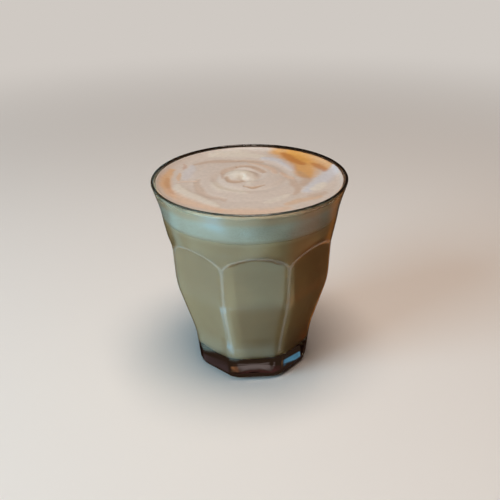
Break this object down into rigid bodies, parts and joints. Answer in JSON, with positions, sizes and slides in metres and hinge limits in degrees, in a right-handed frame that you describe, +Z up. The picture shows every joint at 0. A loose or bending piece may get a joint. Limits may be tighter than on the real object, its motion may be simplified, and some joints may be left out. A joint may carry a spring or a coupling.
{
  "type": "cortado in a glass tumbler",
  "caption": "Cortado in a clear pressed glass tumbler with arched flat panels and a thick foot: milk coffee under a layer of swirled milk foam.",
  "frame": {"origin": "middle of the foot's flat underside, on the tumbler's axis", "axes": "+Z up along the tumbler's axis, -Y towards the viewer of the picture, square to one pressed panel"},
  "size_m": [0.0748, 0.0748, 0.08],
  "materials": {
    "clear_glass": "clear pressed soda-lime glass, fire polished",
    "milk_coffee": "opaque milk coffee",
    "milk_foam": "fine wet milk foam with streaks of coffee cream"
  },
  "bodies": {
    "root": {"glass": "clear_glass", "coffee": "milk_coffee", "milk_foam": "milk_foam"}
  },
  "joints": []
}
